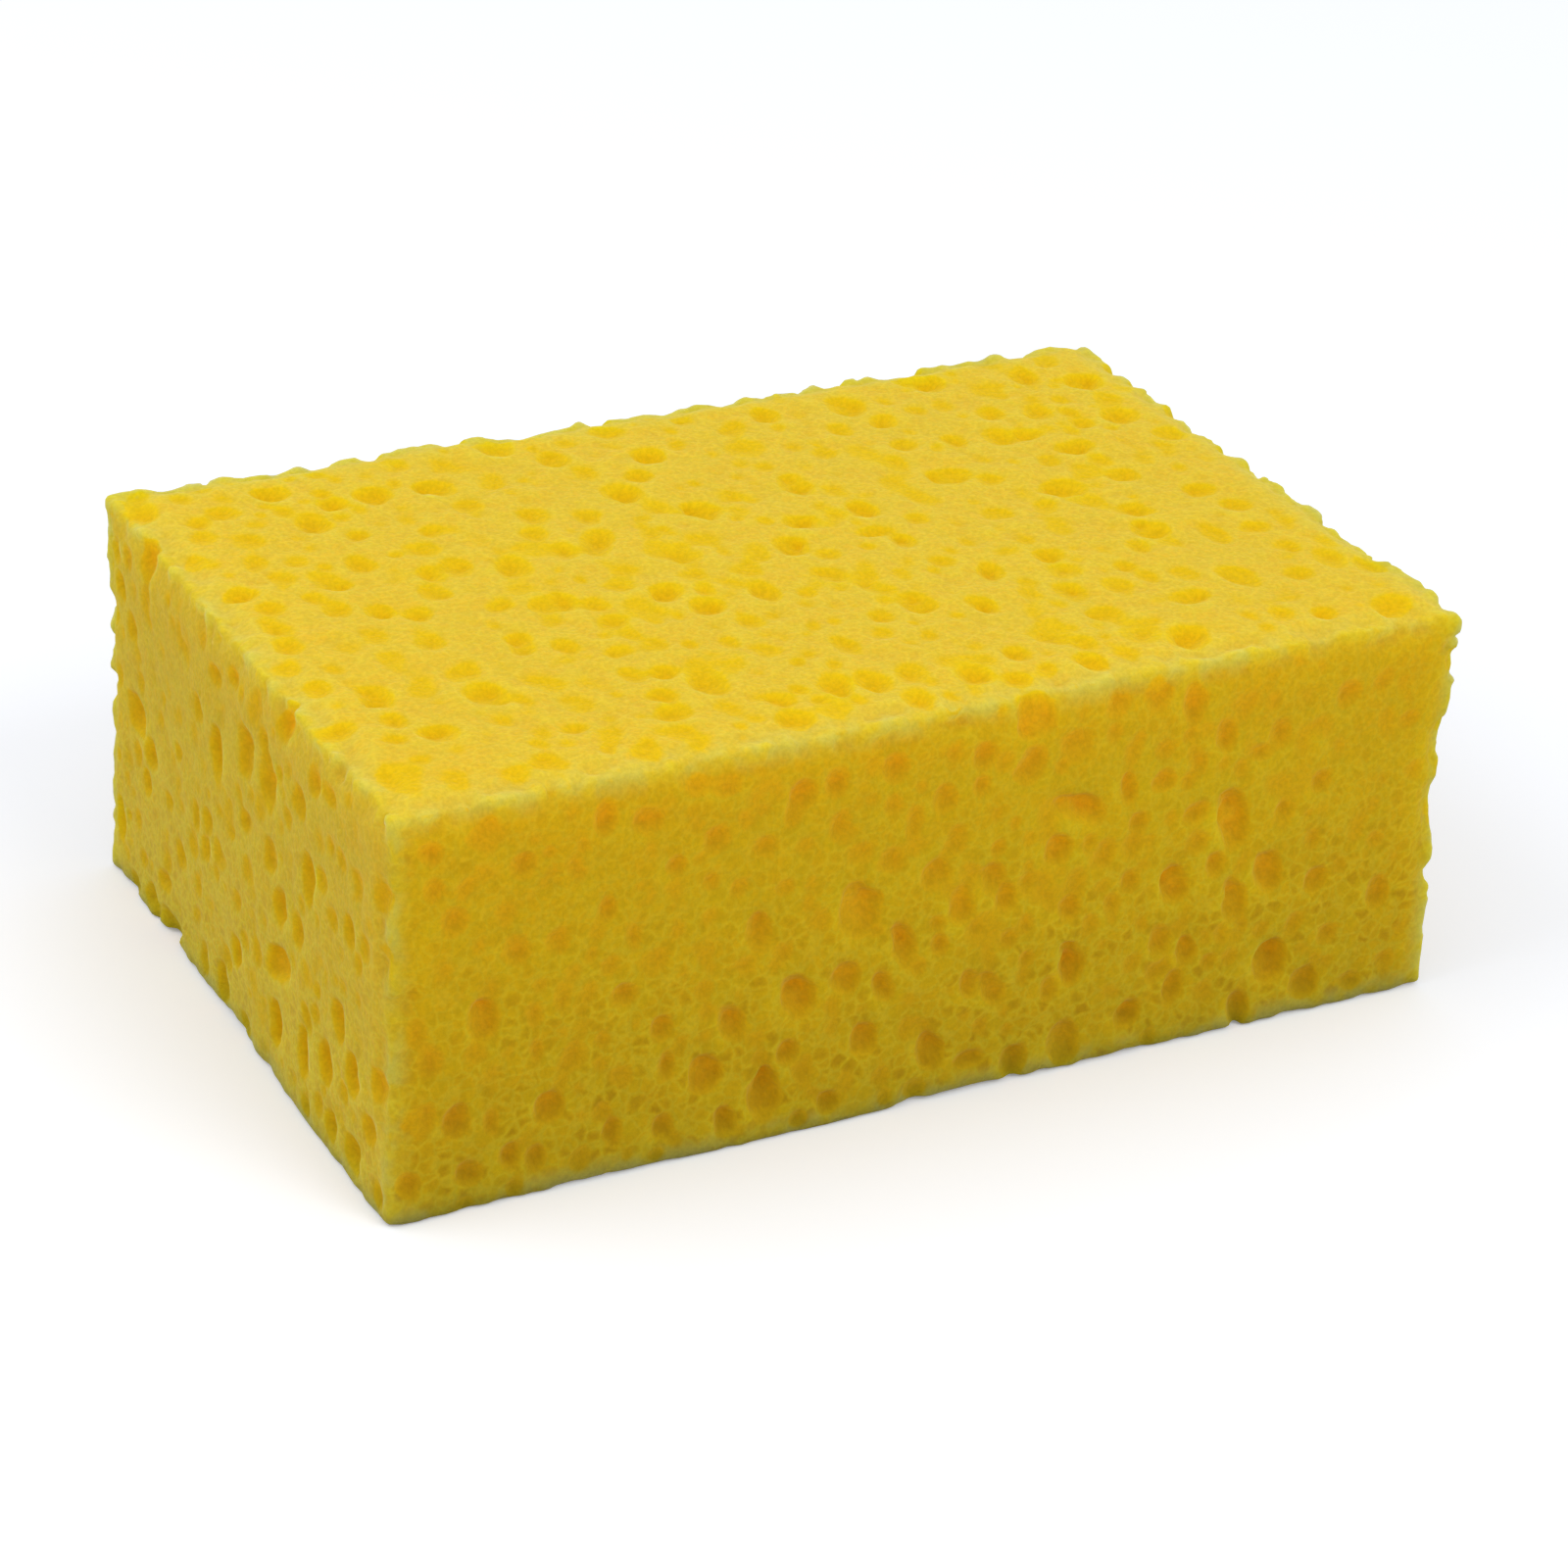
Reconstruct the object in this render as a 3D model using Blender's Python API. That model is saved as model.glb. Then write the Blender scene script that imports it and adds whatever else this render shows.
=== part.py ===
"""Grout sponge: one block of open-celled foam, cut square, with the large pores that its cut faces show."""

import math
import random

import bmesh
import bpy
from mathutils import Matrix, Vector

# The block. X runs along it, Y to its back and Z up, from the middle of its underside.
LENGTH = 0.160
WIDTH = 0.105
HEIGHT = 0.060
EDGE_ROUND = 0.0015
EDGE_STEPS = 2

# Pores blown at random: how many there are in each square metre of cut face, how wide they are, and
# how far they stay from the face's edges.
PORES_PER_AREA = 4000
PORE_LEAST = 0.0034
PORE_MOST = 0.0062
STRETCH_MOST = 1.5
LEAN_MOST = 25
EDGE_CLEAR = 0.0016
SEED = 11

# The foam left between two pores, and how far a pore stays short of a face or goes through it.
WALL = 0.0005
NEAR_TANGENT = 0.0004

# The middle of the underside is whole foam, so that the block has a flat place to rest on.
REST_PATCH = 0.009

# A pore is the inner part of an ellipsoid whose middle lies just outside the face that cuts it.
DEPTH_SHARE = 1.15
OUTSIDE_SHARE = 0.12
UNEVEN = 0.07
TRIES_A_PORE = 60

# How many sides a pore's rim has, from the widest pores down, and how many steps it has to its bottom.
RIM_SIDES = ((0.0072, 10), (0.0046, 8), (0.0, 7))
POLE_STEPS = 4

FOAM_COLOUR = (0.74, 0.50, 0.03, 1.0)
FOAM_ROUGHNESS = 0.95

# The pores that stand out on the three faces that the photograph shows, each as its distance along
# and up the face from the face's lower left corner, its width, its height and its lean to the left
# in degrees.
FRONT_PORES = (
    (0.0672, 0.0325, 0.0062, 0.0098, 18),
    (0.0450, 0.0126, 0.0048, 0.0062, 8),
    (0.0540, 0.0072, 0.0052, 0.0084, 6),
    (0.1332, 0.0098, 0.0056, 0.0082, 12),
    (0.0489, 0.0196, 0.0043, 0.0062, 22),
    (0.0585, 0.0210, 0.0052, 0.0078, 22),
    (0.0520, 0.0323, 0.0040, 0.0066, 10),
    (0.0780, 0.0356, 0.0042, 0.0050, 20),
    (0.0966, 0.0354, 0.0038, 0.0047, 10),
    (0.1000, 0.0410, 0.0042, 0.0092, 62),
    (0.1243, 0.0345, 0.0050, 0.0104, 20),
    (0.1183, 0.0367, 0.0042, 0.0031, 20),
    (0.0738, 0.0263, 0.0038, 0.0066, 18),
    (0.0822, 0.0300, 0.0037, 0.0050, 12),
    (0.0889, 0.0300, 0.0031, 0.0040, 12),
    (0.1158, 0.0258, 0.0044, 0.0074, 22),
    (0.1310, 0.0250, 0.0050, 0.0078, 20),
    (0.0655, 0.0226, 0.0046, 0.0056, 20),
    (0.0710, 0.0204, 0.0030, 0.0050, 26),
    (0.0385, 0.0212, 0.0036, 0.0040, 10),
    (0.0133, 0.0285, 0.0044, 0.0062, 4),
    (0.0331, 0.0272, 0.0040, 0.0040, 10),
    (0.0095, 0.0138, 0.0042, 0.0052, 8),
    (0.0225, 0.0130, 0.0042, 0.0050, 8),
    (0.0396, 0.0150, 0.0030, 0.0050, 8),
    (0.0684, 0.0128, 0.0042, 0.0056, 20),
    (0.0573, 0.0132, 0.0032, 0.0040, 10),
    (0.0792, 0.0078, 0.0046, 0.0068, 22),
    (0.0923, 0.0034, 0.0046, 0.0056, 6),
    (0.1003, 0.0043, 0.0052, 0.0072, 6),
    (0.1103, 0.0066, 0.0047, 0.0058, 6),
    (0.1172, 0.0095, 0.0034, 0.0052, -14),
    (0.1286, 0.0035, 0.0038, 0.0056, 8),
    (0.1394, 0.0052, 0.0050, 0.0054, 8),
    (0.0115, 0.0058, 0.0040, 0.0040, 0),
    (0.0172, 0.0068, 0.0031, 0.0046, 6),
    (0.0210, 0.0058, 0.0030, 0.0045, 6),
    (0.0318, 0.0070, 0.0027, 0.0052, 14),
    (0.0390, 0.0060, 0.0032, 0.0042, 4),
    (0.0482, 0.0046, 0.0034, 0.0050, 14),
    (0.0638, 0.0040, 0.0033, 0.0040, 10),
    (0.0852, 0.0053, 0.0048, 0.0030, 0),
    (0.0917, 0.0570, 0.0066, 0.0078, 22),
    (0.1048, 0.0558, 0.0044, 0.0046, 10),
    (0.1108, 0.0556, 0.0050, 0.0060, 10),
    (0.1002, 0.0170, 0.0042, 0.0068, 14),
    (0.0842, 0.0178, 0.0032, 0.0048, 18),
    (0.1395, 0.0216, 0.0040, 0.0044, 10),
    (0.1308, 0.0462, 0.0038, 0.0048, 10),
    (0.0090, 0.0436, 0.0038, 0.0046, 10),
    (0.0186, 0.0494, 0.0038, 0.0042, 10),
    (0.0178, 0.0376, 0.0046, 0.0050, 10),
    (0.0066, 0.0486, 0.0036, 0.0040, 0),
    (0.0258, 0.0480, 0.0028, 0.0044, 10),
    (0.0356, 0.0520, 0.0044, 0.0050, 14),
    (0.0466, 0.0560, 0.0044, 0.0050, 0),
    (0.0130, 0.0554, 0.0056, 0.0060, 0),
    (0.0340, 0.0360, 0.0026, 0.0044, 10),
    (0.0666, 0.0410, 0.0040, 0.0036, 0),
    (0.0560, 0.0486, 0.0036, 0.0046, 0),
    (0.0784, 0.0468, 0.0036, 0.0042, 0),
    (0.1122, 0.0474, 0.0034, 0.0034, 0),
    (0.1222, 0.0278, 0.0032, 0.0042, 10),
    (0.1188, 0.0148, 0.0034, 0.0044, 10),
    (0.1592, 0.0518, 0.0036, 0.0044, 0),
    (0.1590, 0.0412, 0.0044, 0.0048, 0),
    (0.1594, 0.0348, 0.0036, 0.0044, 0),
    (0.1590, 0.0282, 0.0044, 0.0048, 0),
)
LEFT_END_PORES = (
    (0.0182, 0.0572, 0.0062, 0.0072, 0),
    (0.0697, 0.0571, 0.0058, 0.0078, 0),
    (0.0560, 0.0458, 0.0064, 0.0078, 0),
    (0.0640, 0.0452, 0.0056, 0.0080, 0),
    (0.0448, 0.0400, 0.0052, 0.0072, 0),
    (0.0380, 0.0434, 0.0040, 0.0050, 0),
    (0.0124, 0.0305, 0.0082, 0.0060, 0),
    (0.0778, 0.0376, 0.0044, 0.0080, 0),
    (0.0918, 0.0372, 0.0036, 0.0056, 0),
    (0.0643, 0.0342, 0.0044, 0.0052, 0),
    (0.0162, 0.0216, 0.0036, 0.0048, 0),
    (0.0677, 0.0280, 0.0048, 0.0060, 0),
    (0.0672, 0.0192, 0.0050, 0.0094, -60),
    (0.0884, 0.0222, 0.0050, 0.0058, 0),
    (0.0929, 0.0168, 0.0044, 0.0066, 0),
    (0.0840, 0.0134, 0.0042, 0.0066, 0),
    (0.0760, 0.0106, 0.0042, 0.0080, 0),
    (0.0657, 0.0088, 0.0048, 0.0076, 0),
    (0.0517, 0.0124, 0.0036, 0.0050, 0),
    (0.0446, 0.0042, 0.0050, 0.0062, 0),
    (0.0930, 0.0044, 0.0056, 0.0052, 0),
    (0.0008, 0.0300, 0.0036, 0.0050, 0),
)
TOP_PORES = (
    (0.0528, 0.0192, 0.0054, 0.0074, 0),
    (0.0250, 0.0272, 0.0056, 0.0068, 0),
    (0.0114, 0.0316, 0.0044, 0.0070, 0),
    (0.0577, 0.0638, 0.0048, 0.0086, -30),
    (0.0927, 0.0712, 0.0046, 0.0074, 0),
    (0.1146, 0.0660, 0.0066, 0.0056, 0),
    (0.1280, 0.0565, 0.0070, 0.0066, 0),
    (0.1146, 0.0522, 0.0050, 0.0044, 0),
    (0.1340, 0.0462, 0.0058, 0.0050, 0),
    (0.1325, 0.0395, 0.0058, 0.0060, 0),
    (0.0628, 0.0396, 0.0052, 0.0050, 0),
    (0.0428, 0.0486, 0.0044, 0.0050, 0),
    (0.1193, 0.0074, 0.0074, 0.0060, 30),
    (0.0678, 0.0122, 0.0046, 0.0066, -20),
    (0.0732, 0.0112, 0.0044, 0.0060, 0),
    (0.0900, 0.0302, 0.0048, 0.0068, 0),
    (0.0981, 0.0260, 0.0036, 0.0056, 10),
    (0.1043, 0.0352, 0.0038, 0.0064, -20),
    (0.0680, 0.0778, 0.0058, 0.0070, 0),
    (0.1486, 0.0424, 0.0052, 0.0050, 0),
    (0.1260, 0.0184, 0.0066, 0.0046, 0),
    (0.1446, 0.0195, 0.0048, 0.0050, 0),
    (0.1508, 0.0056, 0.0062, 0.0054, 0),
    (0.1530, 0.0674, 0.0058, 0.0054, 0),
    (0.1368, 0.0680, 0.0062, 0.0052, 0),
    (0.0084, 0.0612, 0.0040, 0.0044, 0),
    (0.0060, 0.0664, 0.0048, 0.0044, 0),
    (0.0260, 0.0528, 0.0048, 0.0056, 0),
    (0.0218, 0.0952, 0.0056, 0.0056, 0),
    (0.0350, 0.0898, 0.0060, 0.0056, 20),
    (0.0236, 0.0838, 0.0044, 0.0070, 0),
    (0.0330, 0.1042, 0.0034, 0.0040, 0),
    (0.0400, 0.1040, 0.0036, 0.0040, 0),
    (0.0530, 0.1042, 0.0036, 0.0036, 0),
    (0.0760, 0.1040, 0.0040, 0.0044, 0),
    (0.1150, 0.1042, 0.0044, 0.0040, 0),
    (0.1280, 0.1044, 0.0050, 0.0036, 0),
    (0.1470, 0.1042, 0.0040, 0.0040, 0),
    (0.1590, 0.0930, 0.0040, 0.0044, 0),
    (0.1592, 0.0870, 0.0036, 0.0040, 0),
    (0.1590, 0.0750, 0.0040, 0.0050, 0),
    (0.1592, 0.0600, 0.0044, 0.0046, 0),
)


class Face:
    """A cut face: its lower left corner seen from outside, the ways along, up and out of it, and its size."""

    def __init__(self, corner, along, up, size, landmarks=()):
        self.corner = Vector(corner)
        self.along = Vector(along)
        self.up = Vector(up)
        self.out = self.along.cross(self.up)
        self.size = size
        self.landmarks = landmarks


def cut_faces():
    left, right = -LENGTH / 2, LENGTH / 2
    front, back = -WIDTH / 2, WIDTH / 2
    side, end, flat = (LENGTH, HEIGHT), (WIDTH, HEIGHT), (LENGTH, WIDTH)
    return (
        Face((left, front, 0), (1, 0, 0), (0, 0, 1), side, FRONT_PORES),
        Face((left, back, 0), (0, -1, 0), (0, 0, 1), end, LEFT_END_PORES),
        Face((left, front, HEIGHT), (1, 0, 0), (0, 1, 0), flat, TOP_PORES),
        Face((right, front, 0), (0, 1, 0), (0, 0, 1), end),
        Face((right, back, 0), (-1, 0, 0), (0, 0, 1), side),
        Face((left, back, 0), (1, 0, 0), (0, -1, 0), flat),
    )


class Pore:
    """An ellipsoid of air, by its middle and its three half axes."""

    def __init__(self, face, along, up, width, height, lean):
        depth = DEPTH_SHARE * (width + height) / 4
        out = OUTSIDE_SHARE * depth
        rim = math.sqrt(1 - OUTSIDE_SHARE**2)
        turn = Matrix.Rotation(math.radians(lean), 3, face.out)
        self.middle = face.corner + face.along * along + face.up * up + face.out * out
        self.half_axes = (
            turn @ face.along * width / 2 / rim,
            turn @ face.up * height / 2 / rim,
            face.out * depth,
        )

    def reach(self, way):
        """How far the pore goes from its middle in the direction of a unit vector."""
        return math.sqrt(sum(axis.dot(way) ** 2 for axis in self.half_axes))

    def clears(self, other):
        apart = other.middle - self.middle
        way = apart.normalized()
        return apart.length > self.reach(way) + other.reach(way) + WALL

    def cuts_cleanly(self, faces):
        """Whether it meets the block, and no face at a grazing angle."""
        for face in faces:
            beyond = (self.middle - face.corner).dot(face.out)
            reach = self.reach(face.out)
            if beyond > reach - NEAR_TANGENT:
                return False
            if abs(beyond + reach) < NEAR_TANGENT:
                return False
        return True

    def leaves_rest_patch(self):
        return math.hypot(self.middle.x, self.middle.y) > REST_PATCH or self.middle.z > HEIGHT / 2

    def matrix(self):
        turned = Matrix(self.half_axes).transposed().to_4x4()
        return Matrix.Translation(self.middle) @ turned

    def sides(self):
        across = 2 * max(axis.length for axis in self.half_axes[:2])
        return next(sides for widest, sides in RIM_SIDES if across > widest)


def random_pore(face, dice):
    width = dice.triangular(PORE_LEAST, PORE_MOST, PORE_LEAST)
    height = width * dice.uniform(1, STRETCH_MOST)
    margin = height / 2 + EDGE_CLEAR
    along = dice.uniform(margin, face.size[0] - margin)
    up = dice.uniform(margin, face.size[1] - margin)
    return Pore(face, along, up, width, height, dice.uniform(-LEAN_MOST, LEAN_MOST))


def all_pores():
    """The pores read from the photograph, then random ones until each face has its share."""
    faces = cut_faces()
    kept = []

    def keep(pore):
        fits = pore.cuts_cleanly(faces) and pore.leaves_rest_patch()
        if fits and all(pore.clears(other) for other in kept):
            kept.append(pore)
            return True
        return False

    found = [sum(keep(Pore(face, *row)) for row in face.landmarks) for face in faces]
    for number, face in enumerate(faces):
        dice = random.Random(SEED + number)
        wanted = round(PORES_PER_AREA * face.size[0] * face.size[1]) - found[number]
        for _ in range(TRIES_A_PORE * max(wanted, 0)):
            if wanted <= 0:
                break
            wanted -= keep(random_pore(face, dice))
    return kept


def clear_scene():
    for thing in list(bpy.data.objects):
        bpy.data.objects.remove(thing)


def add_object(name, shape):
    mesh = bpy.data.meshes.new(name)
    shape.to_mesh(mesh)
    shape.free()
    made = bpy.data.objects.new(name, mesh)
    bpy.context.scene.collection.objects.link(made)
    return made


def pore_cutter(pores):
    """All the pores as one hidden mesh, each a slightly uneven ball of air."""
    dice = random.Random(SEED)
    shape = bmesh.new()
    for pore in pores:
        sides = pore.sides()
        ball = bmesh.ops.create_uvsphere(
            shape, u_segments=sides, v_segments=POLE_STEPS, radius=1.0
        )
        # One draw for each side, the same from top to bottom, keeps every face of the ball flat.
        pull = [1 - dice.uniform(0, UNEVEN) for _ in range(sides)]
        for point in ball["verts"]:
            side = round(math.atan2(point.co.y, point.co.x) / math.tau * sides) % sides
            point.co.xy = point.co.xy * pull[side]
        bmesh.ops.transform(shape, matrix=pore.matrix(), verts=ball["verts"])
    cutter = add_object("pore_cutter", shape)
    cutter.hide_render = True
    cutter.display_type = "WIRE"
    return cutter


def foam_material():
    foam = bpy.data.materials.new("foam")
    foam.use_nodes = True
    shader = foam.node_tree.nodes["Principled BSDF"]
    shader.inputs["Base Color"].default_value = FOAM_COLOUR
    shader.inputs["Roughness"].default_value = FOAM_ROUGHNESS
    shader.inputs["Metallic"].default_value = 0.0
    return foam


def foam_block(cutter):
    shape = bmesh.new()
    size = Matrix.Diagonal((LENGTH, WIDTH, HEIGHT, 1))
    stand = Matrix.Translation((0, 0, HEIGHT / 2))
    bmesh.ops.create_cube(shape, size=1, matrix=stand @ size)
    block = add_object("foam_block", shape)
    block.data.materials.append(foam_material())
    rounding = block.modifiers.new("rounded edges", "BEVEL")
    rounding.width = EDGE_ROUND
    rounding.segments = EDGE_STEPS
    pores = block.modifiers.new("pores", "BOOLEAN")
    pores.operation = "DIFFERENCE"
    pores.object = cutter
    return block


def main():
    clear_scene()
    foam_block(pore_cutter(all_pores()))


main()
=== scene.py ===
"""Dresses the grout sponge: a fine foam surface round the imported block, its colours, light and camera."""

import math
import random

import bpy
import numpy as np
from mathutils import Matrix, Vector

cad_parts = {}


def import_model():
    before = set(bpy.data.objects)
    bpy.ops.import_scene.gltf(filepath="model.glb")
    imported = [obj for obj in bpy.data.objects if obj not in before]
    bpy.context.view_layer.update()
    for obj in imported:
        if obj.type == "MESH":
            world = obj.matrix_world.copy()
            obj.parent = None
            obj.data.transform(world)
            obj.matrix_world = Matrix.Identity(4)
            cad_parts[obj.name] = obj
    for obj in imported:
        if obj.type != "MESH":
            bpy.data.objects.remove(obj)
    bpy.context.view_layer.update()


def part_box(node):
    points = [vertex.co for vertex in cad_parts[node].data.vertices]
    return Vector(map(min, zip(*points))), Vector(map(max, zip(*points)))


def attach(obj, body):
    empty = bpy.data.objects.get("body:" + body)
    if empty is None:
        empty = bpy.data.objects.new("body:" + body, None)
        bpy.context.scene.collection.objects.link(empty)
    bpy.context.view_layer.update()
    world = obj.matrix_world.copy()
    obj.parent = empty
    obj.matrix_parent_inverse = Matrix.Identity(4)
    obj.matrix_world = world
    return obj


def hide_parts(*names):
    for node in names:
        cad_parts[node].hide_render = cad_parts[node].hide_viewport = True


# The grid that the foam surface is taken from: its pitch, and how many places wider than the block it is
# on each side
PITCH = 0.0004
GRID_MARGIN = 4
# Squares of the grid that are pinched at a corner are filled in this many rounds, and so thinly
JOIN_ROUNDS = 3
BARELY = 0.00002
# The most triangles that the surface keeps. Two neighbours lie folded where the cosine of the turn from
# one to the other is below this, and are evened out in this many rounds
MOST_TRIANGLES = 196000
FOLDED = -0.2
UNFOLD_ROUNDS = 10

# How round the block's cut edges are: at the floor, and in full from some height upward
EDGE_ROUND = 0.0013
ROUND_AT_FLOOR = 0.0006
ROUND_FULL_HEIGHT = 0.030
# How uneven the cut is: each scale of bumps with its height
BUMPS = ((0.030, 0.00025), (0.0060, 0.00012), (0.0022, 0.00010))
# How far from an edge the foam is frayed, each scale of that with its depth, the height from which on it
# is frayed in full, and the share of it that is left at the floor
FRAY_REACH = 0.0025
FRAY_BUMPS = ((0.0055, 0.00060), (0.0028, 0.00055), (0.0015, 0.00045))
FRAY_FULL_HEIGHT = 0.020
FRAY_AT_FLOOR = 0.15

# The large pores, as in the solid: how many there are to a square metre, how wide, how much taller than
# wide, how far leant to either side, and how much foam stays between them and their face's border
PORES_PER_AREA = 4000
PORE_LEAST = 0.0034
PORE_MOST = 0.0062
STRETCH_MOST = 1.5
LEAN_MOST = 25
EDGE_CLEAR = 0.0016
SEED = 11
TRIES_A_PORE = 60
# The foam between two of them, and how near one may come to touching a face at a grazing angle
WALL = 0.0005
NEAR_TANGENT = 0.0004
# The radius of the patch in the middle of the underside that has none
REST_PATCH = 0.009
# A pore's half axis into the block as a share of its radius, and the share of that axis by which its
# middle lies outside
DEPTH_SHARE = 1.15
OUTSIDE_SHARE = 0.12

# How softly a pore's rim turns into the cut face, on the sides and on the large faces, and the most that
# is of its radius
SIDE_RIM = 0.0005
FLAT_RIM = 0.0008
RIM_SHARE = 0.4

# Finer pores, which only this surface has: how many are tried to a square metre, and how wide they are
SIDE_FINE_PORES = ((30000, 0.0028, 0.0052), (60000, 0.0018, 0.0030), (30000, 0.0011, 0.0019))
FLAT_FINE_PORES = ((20000, 0.0034, 0.0060), (60000, 0.0020, 0.0036), (30000, 0.0013, 0.0020))
# How far outside their middles lie, as a share of their depth, from and to, and those of the faint pores
SIDE_FINE_OUTSIDE = (0.58, 0.90)
FLAT_FINE_OUTSIDE = (0.62, 0.86)
FAINT_OUTSIDE = 0.5
SIDE_LOOK = (SIDE_RIM, SIDE_FINE_PORES, SIDE_FINE_OUTSIDE)
FLAT_LOOK = (FLAT_RIM, FLAT_FINE_PORES, FLAT_FINE_OUTSIDE)
# How much taller than wide they are, how far leant, and the foam that stays round them and between them
# and their face's border
FINE_STRETCH = (1.0, 1.6)
FINE_LEAN = 30
FINE_WALL = 0.0001
EDGE_MARGIN = 0.0008

# How far outside the middle of a large pore lies in this surface, where it looks shallow: on the large
# faces, and low and high on the sides
FLAT_SHARE = 0.56
SIDE_SHARES = (0.30, 0.55)
SIDE_SHARE_HEIGHTS = (0.012, 0.045)
# The front's large pores are shallower still at its upper left: in full up to the first place along it,
# and from the second height upward
WORN_SHARE = 0.68
WORN_ALONG = (0.079, 0.095)
WORN_HEIGHTS = (0.028, 0.044)
# A pore with its middle this near to its face's border bites into the edge, and stays deep, unless that
# edge is the upper one of a side
BITE_WITHIN = 0.0031
UPPER_BITE_SHARE = 0.45
# How uneven a pore's outline is, as a share of its size, and over what distance
WOBBLE = 0.10
WOBBLE_SCALE = 0.0020

# The foam's colours: the cut skin, where it is deeper and on its web of cut cells, the pores on the sides
# and on top, where they are shallow and deep, and the pale edges, which are painted light
SKIN = (0.75, 0.495, 0.006, 1)
SKIN_DEEPER = (0.77, 0.480, 0.005, 1)
SKIN_PALER = (0.78, 0.565, 0.020, 1)
# Partly painted light: the pores' deeper yellow is the foam's own, but the deep ones in the sides are
# painted brighter against the shade in them, and those on top yellower, as the light falls straight in
PORE = (0.795, 0.483, 0.006, 1)
PORE_DEEP = (0.89, 0.550, 0.009, 1)
PORE_ABOVE = (0.79, 0.515, 0.003, 1)
PORE_ABOVE_DEEP = (0.80, 0.530, 0.003, 1)
PAINTED_EDGE_LIGHT = (0.64, 0.53, 0.080, 1)
# The depths under the skin between which its colour turns into a pore's, and a pore's into a deep one's
SHALLOW = (0.00004, 0.00030)
DEEP = (0.0008, 0.0020)
# Painted sheen makes the top and the left end, the faces that the lamps light, paler, and hides part of the
# cells there
PAINTED_SHEEN = (0, 0.012, 0.020, 1)
LIT_FACES_HIDE = 0.5
# Small cells, in the colour alone: the painted shade of the pits where they lie open, darker and more
# orange as a hollow is, their number to the metre, the noise that bends their walls and how far, the share
# of them that lie open, and the distances from a wall, counted in cells, over which the pale wall fades and
# the pit comes out
PIT_SHADE = (0.57, 0.315, 0.003, 1)
CELLS_PER_METRE = 480.0
BENDS = {"Scale": 900.0, "Detail": 0.0}
BENT_BY = 0.0007
PITS_SHOWN = 0.85
WEB_REACH = (0.01, 0.14)
PIT_REACH = (0.05, 0.32)
# How strongly those walls and pits show, low on the block and high on it
WEB_STRENGTH = (0.75, 0.42)
PIT_STRENGTH = (0.75, 0.12)
CELL_HEIGHTS = (0.008, 0.050)
# The skin's felt: its noise, the part of that which counts, how much darker and paler it makes the foam,
# and the bumps that it stands up in
FUZZ = {"Scale": 1500.0, "Detail": 2.0, "Roughness": 0.65}
FUZZ_RANGE = (0.3, 0.7)
FUZZ_SHADES = (0.93, 1.07)
FUZZ_BUMPS = {"Distance": 0.0003, "Strength": 0.6}
# Blotches of a slower noise, and the part of it that counts
CLOUD = {"Scale": 260.0, "Detail": 1.0}
CLOUD_RANGE = (0.35, 0.65)
# The pale band along an edge, painted light where the thin rounded edge lets light through and catches it:
# the distances from it between which the band fades, and how strongly it shows by the blotches
NEAR_EDGE = (0.0005, 0.0044)
EDGE_CLOUD_RANGE = (0.38, 0.62)
EDGE_STRENGTH = (0.2, 0.95)
# The share of their length that distances count for on top, so that the band is wider there, and how far
# its border wanders there
EDGE_WIDER_ABOVE = 0.55
EDGE_WANDERS = 0.0020
# Painted shade on the walls of pores in the sides that face half up, and painted light on those that
# face half down, by this share, evening out the light from above in them as light going through the foam
# from wall to wall would. It ends where a point belongs this much to the top
PAINTED_WALL_SHADE = 0.3
EVEN_UP_TO = 0.5
# Painted shade: how much darker the front, the right end and the back are at the floor, and up to what
# height
LOW_PAINTED_SHADE = 0.19
LOW_HEIGHTS = (-0.005, 0.045)
# A point belongs wholly to the face that is nearer than the next one by this much
TURNS_OVER = 0.002
# How the foam takes the light
FOAM_FINISH = {
    "Roughness": 0.9,
    "Specular IOR Level": 0.1,
    "Subsurface Weight": 0.9,
    "Subsurface Radius": (1.0, 0.92, 0.35),
    "Subsurface Scale": 0.014,
    "Sheen Weight": 0.06,
    "Sheen Roughness": 0.4,
}

# The floor: its size, its own glow and its colour where the camera sees it, and its colour for the light
# that it throws back at the sponge
FLOOR_RADIUS = 4
FLOOR_SIDES = 64
FLOOR_GLOW = 0.21
FLOOR_SEEN = (0.87, 0.90, 0.96, 1)
FLOOR_UNSEEN = (0.30, 0.30, 0.30, 1)
# The lamps, each with its place, width and power, and the place that they aim at
LAMPS = (
    ("overhead", (-0.80, 0.16, 0.80), 0.9, 3.45),
    ("front", (0.35, -1.1, 1.0), 0.8, 6.6),
)
LAMPS_AIM = (0, 0, 0.03)
# How strongly the world lights the sponge, and the strength at which it looks white behind it
WORLD_LIGHT = 0.66
WHITE = 1.0

# The photograph's camera, round the block's underside
CAMERA_AZIMUTH = -28.36
CAMERA_ELEVATION = 27.89
CAMERA_ROLL = 2.85
CAMERA_DISTANCE = 0.6276
CAMERA_TARGET = (0.00223, -0.00121, 0.02311)
CAMERA_LENS = 101.13

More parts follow.
